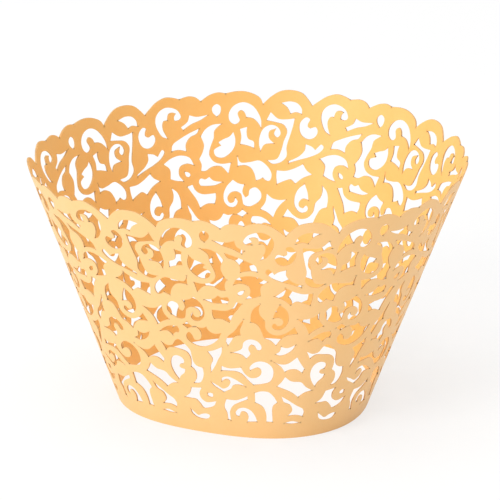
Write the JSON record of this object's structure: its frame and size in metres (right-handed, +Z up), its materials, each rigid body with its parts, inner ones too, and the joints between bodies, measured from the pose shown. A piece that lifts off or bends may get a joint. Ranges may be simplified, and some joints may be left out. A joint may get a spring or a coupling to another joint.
{
  "type": "cupcake wrapper",
  "caption": "Flared open sleeve of thin gold card for a cupcake, with a scalloped rim and a cut-out filigree of scrolls and leaves.",
  "frame": {"origin": "centre of the bounding box, in the plane of the base edge", "axes": "+Z up the sleeve from its base edge to its rim, +X to the right and -Y to the front as the picture shows it"},
  "size_m": [0.0872, 0.0806, 0.0495],
  "materials": {
    "gold_card": "satin"
  },
  "bodies": {
    "root": {"wrapper": "gold_card"}
  },
  "joints": []
}
